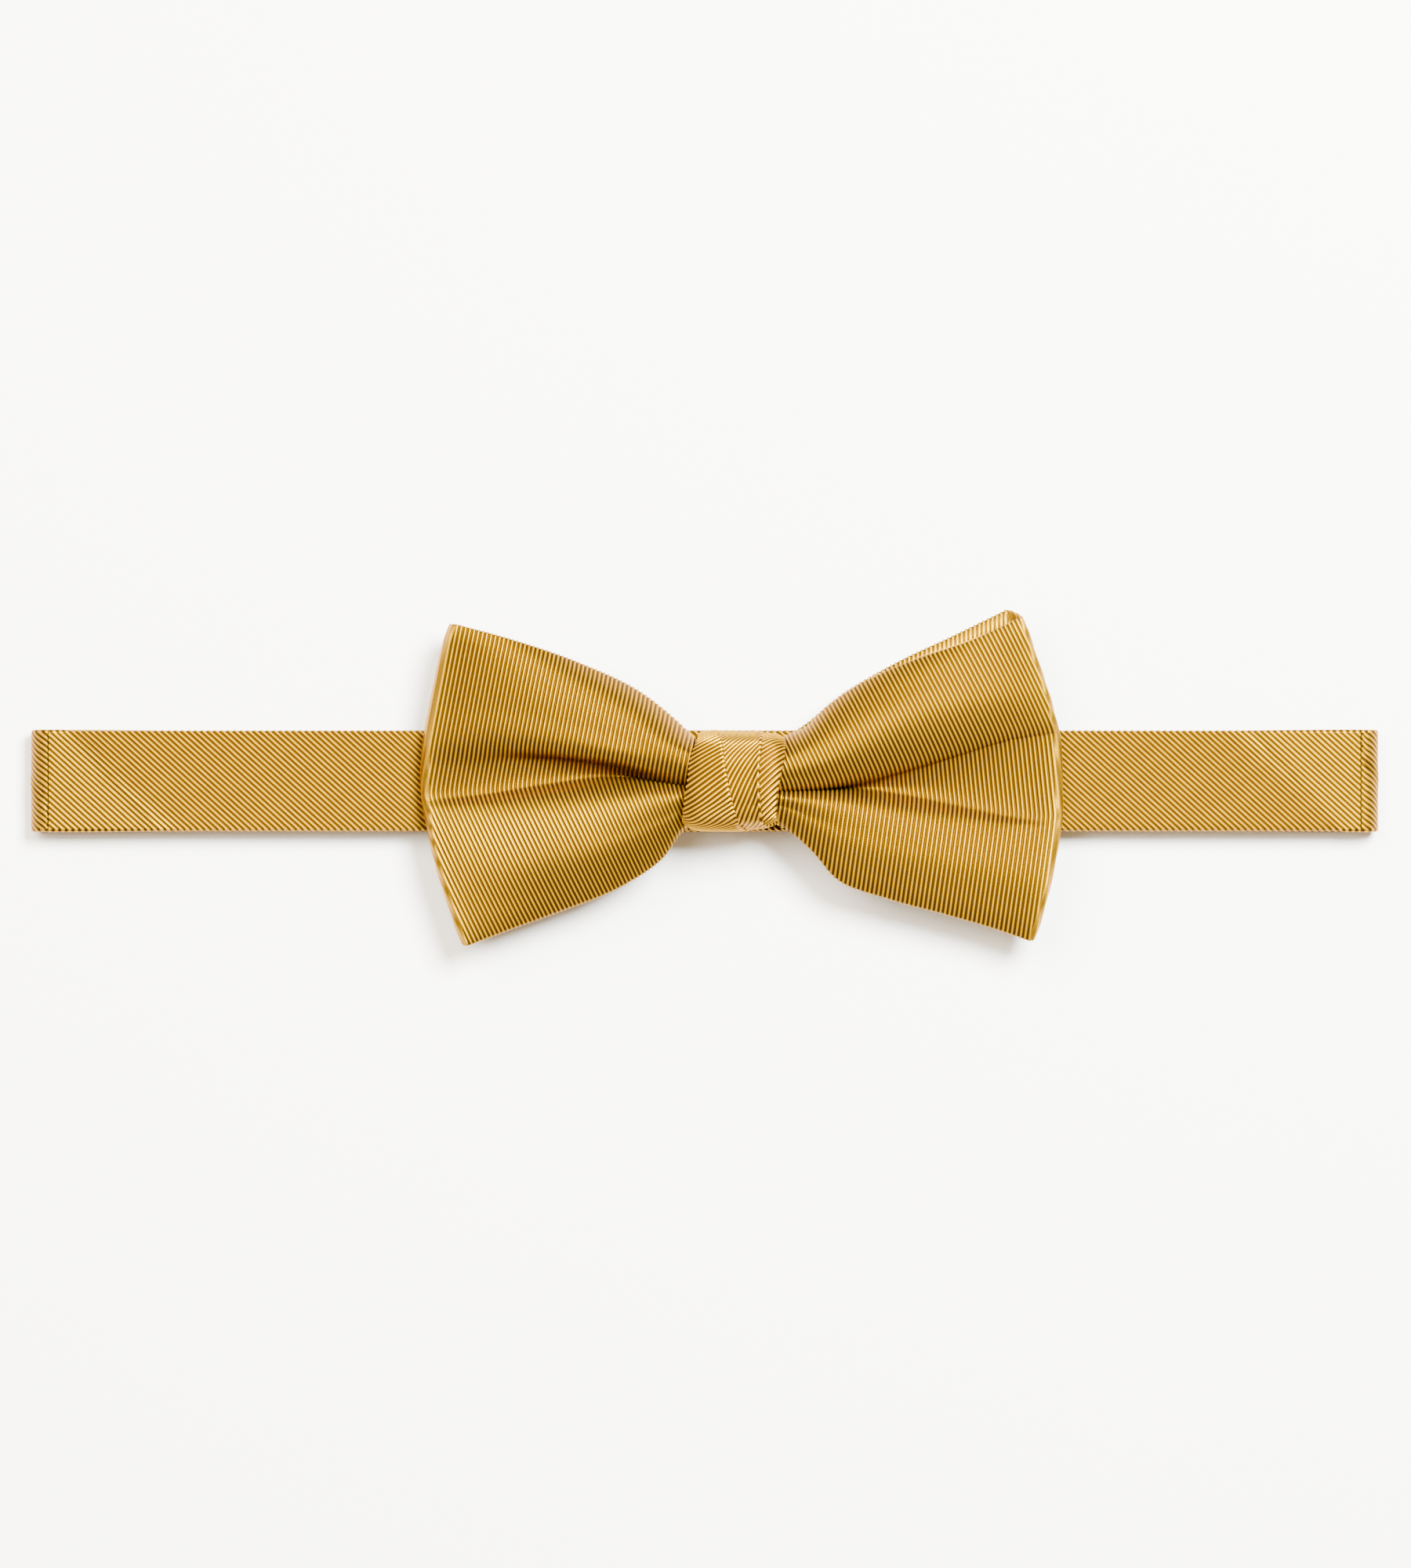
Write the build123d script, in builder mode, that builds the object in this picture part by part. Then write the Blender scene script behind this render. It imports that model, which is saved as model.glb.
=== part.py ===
"""Pre-tied bow on an adjustable neckband, lying flat with its neckband folded into a closed loop.

+X runs along the neckband, +Y towards the bow's upper edge, +Z up from the table.
The origin is under the middle of the whole, on the table. Millimetres.
"""
import os

from build123d import *

os.makedirs("parts", exist_ok=True)

# ---- driving dimensions ----
loop_length = 252.4        # flattened neckband, end fold to end fold
band_width = 19.2
band_thickness = 1.0       # cloth, interlining and cloth pressed together
band_centre_y = -0.7
loop_height = 6.8          # table to the top of the front run

bow_left_x = -53.1         # middle of the left outer fold
bow_right_x = 67.1         # middle of the right outer fold
bow_half_height = 31.2
leaf_thickness = 1.6       # cloth, canvas and cloth
wing_rise = 8.6            # middle line of the front leaf above that of the back leaf
wing_edge_rise = 3.2       # the same, at the outer folds

knot_centre_x = 5.7
knot_length = 17.2         # along X
knot_width = 19.4          # along Y
knot_centre_y = -0.5
knot_height = 15.6         # along Z, round bow and neckband
knot_wall = 1.3
knot_top_round = 5.5

thread_diameter = 0.5
thread_turns = 4
thread_pitch = 1.4

interlining_thickness = 0.36
canvas_thickness = 0.7
interlining_width = 14.6
canvas_inset = 2.4         # from the bow's outline
canvas_setback = 3.0       # from the waist
waist_lap = 0.5            # leaves run this far into the waist

wire_radius = 0.4          # bars of the hook, eye and slide
plate_thickness = 0.8
fitting_half_width = 11.0
rail_width = 1.1
eye_length = 11.2
hook_length = 13.2
tongue_width = 7.0
lip_length = 4.4
slide_length = 12.0
slide_x = 50.0             # the slide's bar, at rest
slide_travel = 24.0        # towards the eye
closure_x = -24.0          # middle of the closure, behind the left wing
closure_gap = 1.2          # between the unfastened hook and eye
waist_margin = 0.8         # narrowed band to its narrowed interlining, at the knot

clearance = 0.05           # cloth to metal and cloth to cloth
pocket_clearance = 0.02    # interlining to its pocket
stack_clearance = 0.2      # bow to neckband, knot to neckband
stitch_radius = 0.14

# ---- places worked out from them ----
half_length = loop_length / 2
fold_radius = loop_height / 2
fold_x = half_length - fold_radius
front_bottom = loop_height - band_thickness
bow_bottom = loop_height + stack_clearance
knot_bottom = front_bottom - knot_wall - stack_clearance / 2
knot_inner_half = knot_width / 2 - knot_wall
band_waist = 2 * (knot_inner_half - 0.3)
interlining_waist = min(interlining_width, band_waist - 2 * waist_margin)
eye_bar_x = closure_x + closure_gap / 2 + eye_length
hook_bar_x = closure_x - closure_gap / 2 - hook_length
bar_z = band_thickness + clearance + wire_radius
ply_gap = 2 * (wire_radius + clearance)
tail_middle = band_thickness * 1.5 + ply_gap
plateau_lift = 2 * wire_radius + clearance
plateau_near = slide_x - slide_travel - slide_length / 2 - 3
plateau_far = slide_x + slide_length / 2 + 3
ramp_length = 4.0
lap_length = 12.0          # strap end turned back on itself at the hook
middle = band_thickness / 2


def slab_plane(y_middle):
    """Side-view plane, X to the right and Z up, through y_middle."""
    return Plane(origin=(0, y_middle, 0), x_dir=(1, 0, 0), z_dir=(0, -1, 0))


side = slab_plane(band_centre_y)

# ---- neckband, front run ----
with BuildPart() as neckband_front:
    with BuildSketch(Plane.XY.offset(front_bottom)):
        with Locations((0, band_centre_y)):
            Rectangle(2 * fold_x, band_width)
        with Locations((knot_centre_x, knot_centre_y)):
            Rectangle(knot_length + 2, 2 * band_width, mode=Mode.SUBTRACT)
            Rectangle(knot_length + 2, band_waist)
    extrude(amount=band_thickness)
    with BuildSketch(Plane.XY.offset(loop_height - middle - interlining_thickness / 2 - pocket_clearance)):
        with Locations((0, knot_centre_y)):
            Rectangle(2 * fold_x, interlining_width + 2 * pocket_clearance)
        with Locations((knot_centre_x, knot_centre_y)):
            Rectangle(knot_length + 2, interlining_width + 1, mode=Mode.SUBTRACT)
            Rectangle(knot_length + 2, interlining_waist + 2 * pocket_clearance)
    extrude(amount=interlining_thickness + 2 * pocket_clearance, mode=Mode.SUBTRACT)
neckband_front.part.label = "neckband_front"
export_step(neckband_front.part, "parts/neckband_front.step")

with BuildPart() as front_interlining:
    with BuildSketch(Plane.XY.offset(loop_height - middle - interlining_thickness / 2)):
        with Locations((0, knot_centre_y)):
            Rectangle(2 * fold_x, interlining_width)
        with Locations((knot_centre_x, knot_centre_y)):
            Rectangle(knot_length + 2, interlining_width + 1, mode=Mode.SUBTRACT)
            Rectangle(knot_length + 2, interlining_waist)
    extrude(amount=interlining_thickness)
front_interlining.part.label = "front_interlining"
export_step(front_interlining.part, "parts/front_interlining.step")

# ---- soft end folds: half rings that join the front run to the back run ----
for fold_name, fold_side in (("neckband_left_fold", -1), ("neckband_right_fold", 1)):
    with BuildPart() as fold:
        with BuildSketch(side):
            with BuildLine():
                ThreePointArc(
                    (fold_side * fold_x, middle),
                    (fold_side * (half_length - middle), fold_radius),
                    (fold_side * fold_x, loop_height - middle),
                )
            trace(line_width=band_thickness)
        extrude(amount=band_width / 2, both=True)
    fold.part.label = fold_name
    export_step(fold.part, f"parts/{fold_name}.step")

# ---- hook side of the back run, looped round the hook's bar ----
hook_bend_x = hook_bar_x + wire_radius
with BuildPart() as neckband_hook_half:
    with BuildSketch(side):
        with BuildLine():
            Line((-fold_x, middle), (hook_bend_x, middle))
            ThreePointArc(
                (hook_bend_x, middle),
                (hook_bend_x + middle + ply_gap / 2, bar_z),
                (hook_bend_x, tail_middle),
            )
            Polyline(
                (hook_bend_x, tail_middle),
                (hook_bend_x - 1.4, tail_middle),
                (hook_bend_x - ramp_length, middle + band_thickness + clearance),
                (hook_bend_x - lap_length, middle + band_thickness + clearance),
            )
        trace(line_width=band_thickness)
    extrude(amount=band_width / 2, both=True)
    with BuildSketch(Plane.XY.offset(middle - interlining_thickness / 2 - pocket_clearance)):
        with Locations((-fold_x, band_centre_y)):
            Rectangle(
                fold_x + hook_bend_x - ramp_length,
                interlining_width + 2 * pocket_clearance,
                align=(Align.MIN, Align.CENTER),
            )
    extrude(amount=interlining_thickness + 2 * pocket_clearance, mode=Mode.SUBTRACT)
neckband_hook_half.part.label = "neckband_hook_half"
export_step(neckband_hook_half.part, "parts/neckband_hook_half.step")

with BuildPart() as hook_half_interlining:
    with BuildSketch(Plane.XY.offset(middle - interlining_thickness / 2)):
        with Locations((-fold_x, band_centre_y)):
            Rectangle(
                fold_x + hook_bend_x - ramp_length - 0.5,
                interlining_width,
                align=(Align.MIN, Align.CENTER),
            )
    extrude(amount=interlining_thickness)
hook_half_interlining.part.label = "hook_half_interlining"
export_step(hook_half_interlining.part, "parts/hook_half_interlining.step")

# ---- eye side of the back run: over the slide's lower bars, then round the eye's bar ----
eye_bend_x = eye_bar_x - wire_radius
tail_start_x = eye_bend_x + 3.0
with BuildPart() as neckband_eye_half:
    with BuildSketch(side):
        with BuildLine():
            Polyline(
                (fold_x, middle),
                (plateau_far + ramp_length, middle),
                (plateau_far, middle + plateau_lift),
                (plateau_near, middle + plateau_lift),
                (plateau_near - ramp_length, middle),
                (eye_bend_x, middle),
            )
            ThreePointArc(
                (eye_bend_x, middle),
                (eye_bend_x - middle - ply_gap / 2, bar_z),
                (eye_bend_x, tail_middle),
            )
            Line((eye_bend_x, tail_middle), (tail_start_x, tail_middle))
        trace(line_width=band_thickness)
    extrude(amount=band_width / 2, both=True)
    with BuildSketch(Plane.XY.offset(middle - interlining_thickness / 2 - pocket_clearance)):
        with Locations((fold_x, band_centre_y)):
            Rectangle(
                fold_x - plateau_far - ramp_length,
                interlining_width + 2 * pocket_clearance,
                align=(Align.MAX, Align.CENTER),
            )
    extrude(amount=interlining_thickness + 2 * pocket_clearance, mode=Mode.SUBTRACT)
neckband_eye_half.part.label = "neckband_eye_half"
export_step(neckband_eye_half.part, "parts/neckband_eye_half.step")

with BuildPart() as eye_half_interlining:
    with BuildSketch(Plane.XY.offset(middle - interlining_thickness / 2)):
        with Locations((fold_x, band_centre_y)):
            Rectangle(
                fold_x - plateau_far - ramp_length - 0.5,
                interlining_width,
                align=(Align.MAX, Align.CENTER),
            )
    extrude(amount=interlining_thickness)
eye_half_interlining.part.label = "eye_half_interlining"
export_step(eye_half_interlining.part, "parts/eye_half_interlining.step")

# ---- tail that runs back from the eye, and its stitched loop on the slide's upper bar ----
slide_bar_z = tail_middle + middle + clearance + wire_radius
tail_top_middle = slide_bar_z + wire_radius + clearance + middle
tail_join_x = slide_x - 10.0
slide_bend_x = slide_x + wire_radius
with BuildPart() as adjuster_tail:
    with BuildSketch(side):
        with BuildLine():
            Line((tail_start_x, tail_middle), (tail_join_x, tail_middle))
        trace(line_width=band_thickness)
    extrude(amount=band_width / 2, both=True)
adjuster_tail.part.label = "adjuster_tail"
export_step(adjuster_tail.part, "parts/adjuster_tail.step")

with BuildPart() as adjuster_tail_end:
    with BuildSketch(side):
        with BuildLine():
            Line((tail_join_x, tail_middle), (slide_bend_x, tail_middle))
            ThreePointArc(
                (slide_bend_x, tail_middle),
                (slide_bend_x + middle + ply_gap / 2, slide_bar_z),
                (slide_bend_x, tail_top_middle),
            )
            Polyline(
                (slide_bend_x, tail_top_middle),
                (slide_bend_x - 1.4, tail_top_middle),
                (slide_bend_x - ramp_length, tail_middle + band_thickness + clearance),
                (tail_join_x, tail_middle + band_thickness + clearance),
            )
        trace(line_width=band_thickness)
    extrude(amount=band_width / 2, both=True)
adjuster_tail_end.part.label = "adjuster_tail_end"
export_step(adjuster_tail_end.part, "parts/adjuster_tail_end.step")

# ---- rows of stitches that hold the two loops shut ----
tacks = (
    ("hook_strap_tack", hook_bend_x - lap_length + 3.0, 2 * band_thickness + clearance),
    ("tail_tack", tail_join_x + 2.0, tail_middle + 1.5 * band_thickness + clearance),
)
for tack_name, tack_x, tack_z in tacks:
    with BuildPart() as tack:
        with BuildSketch(Plane.YZ.offset(tack_x)):
            with Locations((band_centre_y, tack_z + stitch_radius)):
                with GridLocations(2.2, 1, 7, 1):
                    Circle(stitch_radius)
        extrude(amount=1.6)
    tack.part.label = tack_name
    export_step(tack.part, f"parts/{tack_name}.step")

# ---- eye: a plate with a slot for the strap, a window for the hook, and a round bar ----
eye_plate_z = bar_z - plate_thickness / 2
eye_left = closure_x + closure_gap / 2
slot_depth = 3.2           # from the bar's centre to the far side of the strap's slot
with BuildPart() as eye:
    with BuildSketch(Plane.XY.offset(eye_plate_z)) as eye_outline:
        with Locations((eye_left, band_centre_y)):
            Rectangle(eye_length + wire_radius, 2 * fitting_half_width, align=(Align.MIN, Align.CENTER))
        fillet(eye_outline.vertices(), radius=1.0)
        with Locations((eye_bar_x - slot_depth, band_centre_y)):
            Rectangle(
                slot_depth + 2 * wire_radius,
                2 * (fitting_half_width - rail_width),
                align=(Align.MIN, Align.CENTER),
                mode=Mode.SUBTRACT,
            )
        with Locations((eye_left + 1.2, band_centre_y)):
            Rectangle(
                eye_length - slot_depth - 2.4,
                tongue_width + 3.0,
                align=(Align.MIN, Align.CENTER),
                mode=Mode.SUBTRACT,
            )
    extrude(amount=plate_thickness)
    with BuildSketch(Plane(origin=(eye_bar_x, band_centre_y, bar_z), x_dir=(1, 0, 0), z_dir=(0, -1, 0))):
        Circle(wire_radius)
    extrude(amount=fitting_half_width - rail_width / 2, both=True)
eye.part.label = "eye"
export_step(eye.part, "parts/eye.step")

# ---- hook: a plate with a slot for the strap and a tongue whose lip turns up and back ----
hook_right = closure_x - closure_gap / 2
lip_bend = 1.3
shoulder_x = hook_bar_x + slot_depth + 3.4
with BuildPart() as hook:
    with BuildSketch(Plane.XY.offset(eye_plate_z)) as hook_outline:
        with Locations((hook_bar_x - wire_radius, band_centre_y)):
            Rectangle(
                shoulder_x - hook_bar_x + wire_radius,
                2 * fitting_half_width,
                align=(Align.MIN, Align.CENTER),
            )
        fillet(hook_outline.vertices(), radius=1.0)
        with Locations((hook_bar_x - 2 * wire_radius, band_centre_y)):
            Rectangle(
                slot_depth + 2 * wire_radius,
                2 * (fitting_half_width - rail_width),
                align=(Align.MIN, Align.CENTER),
                mode=Mode.SUBTRACT,
            )
    extrude(amount=plate_thickness)
    with BuildSketch(side):
        with BuildLine():
            Line((shoulder_x - 1.0, bar_z), (hook_right - lip_bend, bar_z))
            ThreePointArc(
                (hook_right - lip_bend, bar_z),
                (hook_right - plate_thickness / 2, bar_z + lip_bend - plate_thickness / 2),
                (hook_right - lip_bend, bar_z + 2 * lip_bend - plate_thickness),
            )
            Line(
                (hook_right - lip_bend, bar_z + 2 * lip_bend - plate_thickness),
                (hook_right - lip_length, bar_z + 2 * lip_bend - plate_thickness),
            )
        trace(line_width=plate_thickness)
    extrude(amount=tongue_width / 2, both=True)
    with BuildSketch(Plane(origin=(hook_bar_x, band_centre_y, bar_z), x_dir=(1, 0, 0), z_dir=(0, -1, 0))):
        Circle(wire_radius)
    extrude(amount=fitting_half_width - rail_width / 2, both=True)
hook.part.label = "hook"
export_step(hook.part, "parts/hook.step")

# ---- slide adjuster: two side rails, two bars under the strap, one bar above for the tail ----
rail_height = slide_bar_z + wire_radius
with BuildPart() as slide_adjuster:
    with BuildSketch(Plane.XY):
        with Locations((slide_x, band_centre_y)):
            with GridLocations(1, 2 * fitting_half_width - rail_width, 1, 2):
                Rectangle(slide_length, rail_width)
    extrude(amount=rail_height)
    fillet(slide_adjuster.edges().filter_by(Axis.Z), radius=0.4)
    with BuildSketch(side):
        with Locations(
            (slide_x - slide_length / 2 + 1, wire_radius),
            (slide_x + slide_length / 2 - 1, wire_radius),
            (slide_x, slide_bar_z),
        ):
            Circle(wire_radius)
    extrude(amount=fitting_half_width - rail_width / 2, both=True)
slide_adjuster.part.label = "slide_adjuster"
export_step(slide_adjuster.part, "parts/slide_adjuster.step")

# ---- bow: a strip of cloth folded into a loop, pinched at the waist ----
back_leaf_z = bow_bottom + leaf_thickness / 2
waist_left = knot_centre_x - knot_length / 2 + 1.0
waist_right = knot_centre_x + knot_length / 2 - 1.0
waist_half = knot_inner_half - thread_diameter - 0.9
waist_top = back_leaf_z + wing_rise - 1.2
corner_left_top = (bow_left_x + 5.0, bow_half_height - 3.0)
corner_left_bottom = (bow_left_x + 7.7, -bow_half_height)
corner_right_top = (bow_right_x - 6.5, bow_half_height)
corner_right_bottom = (bow_right_x - 4.9, 0.9 - bow_half_height)


def bow_outline(inset):
    """Plan of the bow: slack edges from the corners to the waist, bowed outer folds."""
    top = knot_centre_y + waist_half - inset
    bottom = knot_centre_y - waist_half + inset
    with BuildLine() as outline:
        Spline(
            (corner_left_top[0] + inset, corner_left_top[1] - inset),
            ((bow_left_x + waist_left) / 2 + 4, 19.5 - inset),
            (waist_left, top),
            tangents=((1, -0.3), (1, -1.0)),
        )
        Line((waist_left, top), (waist_right, top))
        Spline(
            (waist_right, top),
            ((bow_right_x + waist_right) / 2 - 6, 19.5 - inset),
            (corner_right_top[0] - inset, corner_right_top[1] - inset),
            tangents=((1, 1.0), (1, 0.3)),
        )
        ThreePointArc(
            (corner_right_top[0] - inset, corner_right_top[1] - inset),
            (bow_right_x - inset, 0),
            (corner_right_bottom[0] - inset, corner_right_bottom[1] + inset),
        )
        Spline(
            (corner_right_bottom[0] - inset, corner_right_bottom[1] + inset),
            ((bow_right_x + waist_right) / 2 - 6, inset - 20.5),
            (waist_right, bottom),
            tangents=((-1, 0.3), (-1, 1.0)),
        )
        Line((waist_right, bottom), (waist_left, bottom))
        Spline(
            (waist_left, bottom),
            ((bow_left_x + waist_left) / 2 + 4, inset - 20.5),
            (corner_left_bottom[0] + inset, corner_left_bottom[1] + inset),
            tangents=((-1, -1.0), (-1, -0.3)),
        )
        ThreePointArc(
            (corner_left_bottom[0] + inset, corner_left_bottom[1] + inset),
            (bow_left_x + inset, 0),
            (corner_left_top[0] + inset, corner_left_top[1] - inset),
        )
    return outline.edges()


def front_leaf(outer_x, waist_x, reach):
    """Middle line of a front leaf in side view, from the waist out to the start of the outer fold."""
    way = 1 if outer_x > waist_x else -1
    turn_x = outer_x - way * (wing_edge_rise / 2 + leaf_thickness / 2)
    with BuildLine() as line:
        Spline(
            (waist_x - way * reach, back_leaf_z + wing_rise - 2.0),
            (waist_x + 0.35 * (turn_x - waist_x), back_leaf_z + wing_rise),
            (turn_x, back_leaf_z + wing_edge_rise),
            tangents=((way, 0.35), (way, 0)),
        )
    return line.edges()


def outer_fold(outer_x, waist_x, reach):
    """Middle line of the round fold that joins a front leaf to its back leaf."""
    way = 1 if outer_x > waist_x else -1
    turn_x = outer_x - way * (wing_edge_rise / 2 + leaf_thickness / 2)
    with BuildLine() as line:
        ThreePointArc(
            (turn_x, back_leaf_z + wing_edge_rise),
            (turn_x + way * wing_edge_rise / 2, back_leaf_z + wing_edge_rise / 2),
            (turn_x, back_leaf_z),
        )
    return line.edges()


def back_leaf(outer_x, waist_x, reach):
    """Middle line of a back leaf, from the outer fold in to the waist."""
    way = 1 if outer_x > waist_x else -1
    turn_x = outer_x - way * (wing_edge_rise / 2 + leaf_thickness / 2)
    with BuildLine() as line:
        Line((turn_x, back_leaf_z), (waist_x - way * reach, back_leaf_z))
    return line.edges()


bow_side = slab_plane(0)
pocket = canvas_thickness + 2 * pocket_clearance
wings = (("left", bow_left_x, waist_left), ("right", bow_right_x, waist_right))
leaves = (("front", front_leaf), ("back", back_leaf))
with BuildPart() as bow_strip:
    with BuildSketch(bow_side):
        for wing_name, outer_x, waist_x in wings:
            for stretch in (front_leaf, outer_fold, back_leaf):
                trace(stretch(outer_x, waist_x, waist_lap), line_width=leaf_thickness)
        with Locations(((waist_left + waist_right) / 2, bow_bottom)):
            Rectangle(waist_right - waist_left, waist_top - bow_bottom, align=(Align.CENTER, Align.MIN))
    extrude(amount=bow_half_height + 1, both=True)
    with BuildSketch(Plane.XY):
        make_face(bow_outline(0))
    extrude(amount=3 * loop_height, mode=Mode.INTERSECT)
    for wing_name, outer_x, waist_x in wings:
        for leaf_name, leaf in leaves:
            with BuildPart(mode=Mode.PRIVATE) as leaf_pocket:
                with BuildSketch(bow_side):
                    trace(leaf(outer_x, waist_x, -canvas_setback), line_width=pocket)
                extrude(amount=bow_half_height, both=True)
                with BuildSketch(Plane.XY):
                    make_face(bow_outline(canvas_inset - pocket_clearance))
                extrude(amount=3 * loop_height, mode=Mode.INTERSECT)
            add(leaf_pocket.part, mode=Mode.SUBTRACT)
bow_strip.part.label = "bow_strip"
export_step(bow_strip.part, "parts/bow_strip.step")

for wing_name, outer_x, waist_x in wings:
    for leaf_name, leaf in leaves:
        with BuildPart() as canvas:
            with BuildSketch(bow_side):
                trace(leaf(outer_x, waist_x, -canvas_setback), line_width=canvas_thickness)
            extrude(amount=bow_half_height, both=True)
            with BuildSketch(Plane.XY):
                make_face(bow_outline(canvas_inset))
            extrude(amount=3 * loop_height, mode=Mode.INTERSECT)
        canvas.part.label = f"bow_canvas_{leaf_name}_{wing_name}"
        export_step(canvas.part, f"parts/bow_canvas_{leaf_name}_{wing_name}.step")

# ---- thread wound round the waist ----
turn_half_y = waist_half + thread_diameter
turn_bottom = bow_bottom - 0.1
thread_height = waist_top - turn_bottom + thread_diameter
with BuildPart() as gathering_thread:
    for turn in range(thread_turns):
        turn_x = knot_centre_x + (turn - (thread_turns - 1) / 2) * thread_pitch
        with BuildSketch(Plane.YZ.offset(turn_x)):
            with Locations((knot_centre_y, waist_top)):
                Rectangle(2 * turn_half_y, thread_diameter, align=(Align.CENTER, Align.MIN))
            with Locations((knot_centre_y - waist_half, waist_top), (knot_centre_y + turn_half_y, waist_top)):
                Rectangle(thread_diameter, waist_top - bow_bottom, align=(Align.MAX, Align.MAX))
        extrude(amount=thread_diameter / 2, both=True)
    with BuildSketch(Plane.XY.offset(waist_top)):
        with Locations((knot_centre_x, knot_centre_y)):
            Rectangle((thread_turns - 1) * thread_pitch, thread_diameter)
    extrude(amount=thread_diameter)
gathering_thread.part.label = "gathering_thread"
export_step(gathering_thread.part, "parts/gathering_thread.step")

# ---- knot: a wad on top of the waist, and the wrap round all of it ----
knot_top = knot_bottom + knot_height
pad_bottom = waist_top + thread_diameter + clearance
pad_height = knot_top - knot_wall - clearance - pad_bottom
with BuildPart() as knot_padding:
    with BuildSketch(Plane.YZ.offset(knot_centre_x)) as pad_section:
        with Locations((knot_centre_y, pad_bottom)):
            Rectangle(2 * (knot_inner_half - 3.0), pad_height, align=(Align.CENTER, Align.MIN))
        fillet(pad_section.vertices().group_by(Axis.Y)[-1], radius=min(2.2, 0.9 * pad_height))
    extrude(amount=knot_length / 2 - 2.5, both=True)
knot_padding.part.label = "knot_padding"
export_step(knot_padding.part, "parts/knot_padding.step")

with BuildPart() as knot_wrap:
    with BuildSketch(Plane.YZ.offset(knot_centre_x)) as wrap_section:
        with Locations((knot_centre_y, knot_bottom)):
            Rectangle(knot_width, knot_height, align=(Align.CENTER, Align.MIN))
        fillet(wrap_section.vertices().group_by(Axis.Y)[-1], radius=knot_top_round)
        fillet(wrap_section.vertices().group_by(Axis.Y)[0], radius=knot_wall)
        offset(amount=-knot_wall, kind=Kind.INTERSECTION, mode=Mode.SUBTRACT)
    extrude(amount=knot_length / 2, both=True)
knot_wrap.part.label = "knot_wrap"
export_step(knot_wrap.part, "parts/knot_wrap.step")

with BuildPart() as knot_back_stitches:
    with BuildSketch(Plane.XZ.offset(-knot_centre_y - 1.0)):
        with Locations((knot_centre_x, knot_bottom - stitch_radius)):
            with GridLocations(2.4, 1, 6, 1):
                Circle(stitch_radius)
    extrude(amount=2.0)
knot_back_stitches.part.label = "knot_back_stitches"
export_step(knot_back_stitches.part, "parts/knot_back_stitches.step")
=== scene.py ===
import math

import bpy
import numpy as np
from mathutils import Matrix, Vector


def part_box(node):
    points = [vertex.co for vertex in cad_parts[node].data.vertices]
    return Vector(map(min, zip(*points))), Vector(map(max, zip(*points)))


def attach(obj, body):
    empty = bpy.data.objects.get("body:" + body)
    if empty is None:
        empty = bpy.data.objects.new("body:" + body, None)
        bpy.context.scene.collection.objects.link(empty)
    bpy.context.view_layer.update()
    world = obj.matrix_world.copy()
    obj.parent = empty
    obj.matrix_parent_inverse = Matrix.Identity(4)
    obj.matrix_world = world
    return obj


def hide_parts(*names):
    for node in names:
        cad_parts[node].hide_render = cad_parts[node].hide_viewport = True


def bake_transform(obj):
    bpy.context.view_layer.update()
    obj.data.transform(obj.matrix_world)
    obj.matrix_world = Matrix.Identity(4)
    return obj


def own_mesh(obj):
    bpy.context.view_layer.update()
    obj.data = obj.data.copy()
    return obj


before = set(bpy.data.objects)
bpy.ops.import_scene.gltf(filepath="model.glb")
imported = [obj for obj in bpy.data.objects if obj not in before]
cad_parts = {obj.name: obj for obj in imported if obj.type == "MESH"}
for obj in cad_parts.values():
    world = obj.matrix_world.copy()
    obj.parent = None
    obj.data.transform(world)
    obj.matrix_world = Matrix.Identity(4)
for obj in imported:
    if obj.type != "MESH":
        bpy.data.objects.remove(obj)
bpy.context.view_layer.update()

bl_info = {
    "name": "Pre-tied bow tie",
    "version": (1, 0, 0),
    "blender": (4, 5, 0),
    "location": "View3D > Sidebar > Bow Tie",
    "description": "Builds a pre-tied bow of ribbed cloth on its adjustable neckband",
    "category": "Object",
}

MM = 0.001
ROOT = "bow_and_front"
FULL_TURN = 2 * math.pi


def fineness(full):
    """Columns or rows of a grid: the full number."""
    return full


# ---------------------------------------------------------------- colours and materials
def linear(hex_colour):
    """An sRGB hex colour as linear red, green, blue and alpha."""
    parts = [int(hex_colour[i:i + 2], 16) / 255 for i in (1, 3, 5)]
    return tuple(c / 12.92 if c <= 0.04045 else ((c + 0.055) / 1.055) ** 2.4 for c in parts) + (1.0,)


def add_node(tree, kind, settings=None, inputs=None):
    """Add one shader node; inputs are values, or sockets to link from."""
    node = tree.nodes.new(kind)
    for name, value in (settings or {}).items():
        setattr(node, name, value)
    for name, value in (inputs or {}).items():
        if isinstance(value, bpy.types.NodeSocket):
            tree.links.new(value, node.inputs[name])
        else:
            node.inputs[name].default_value = value
    return node


def new_material(name):
    """An empty material and its node tree."""
    made = bpy.data.materials.new(name)
    made.use_nodes = True
    made.node_tree.nodes.clear()
    return made, made.node_tree


def finish_material(tree, shader):
    """Join the shader to the material's output."""
    add_node(tree, "ShaderNodeOutputMaterial", None, {"Surface": shader.outputs[0]})


def tinted(tree, hex_colour, tone):
    """A colour multiplied by a varying tone."""
    mix = add_node(tree, "ShaderNodeMix", {"data_type": "RGBA", "blend_type": "MULTIPLY"},
                   {"Factor": 1.0, "A": linear(hex_colour), "B": tone.outputs[0]})
    return mix.outputs["Result"]


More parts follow.
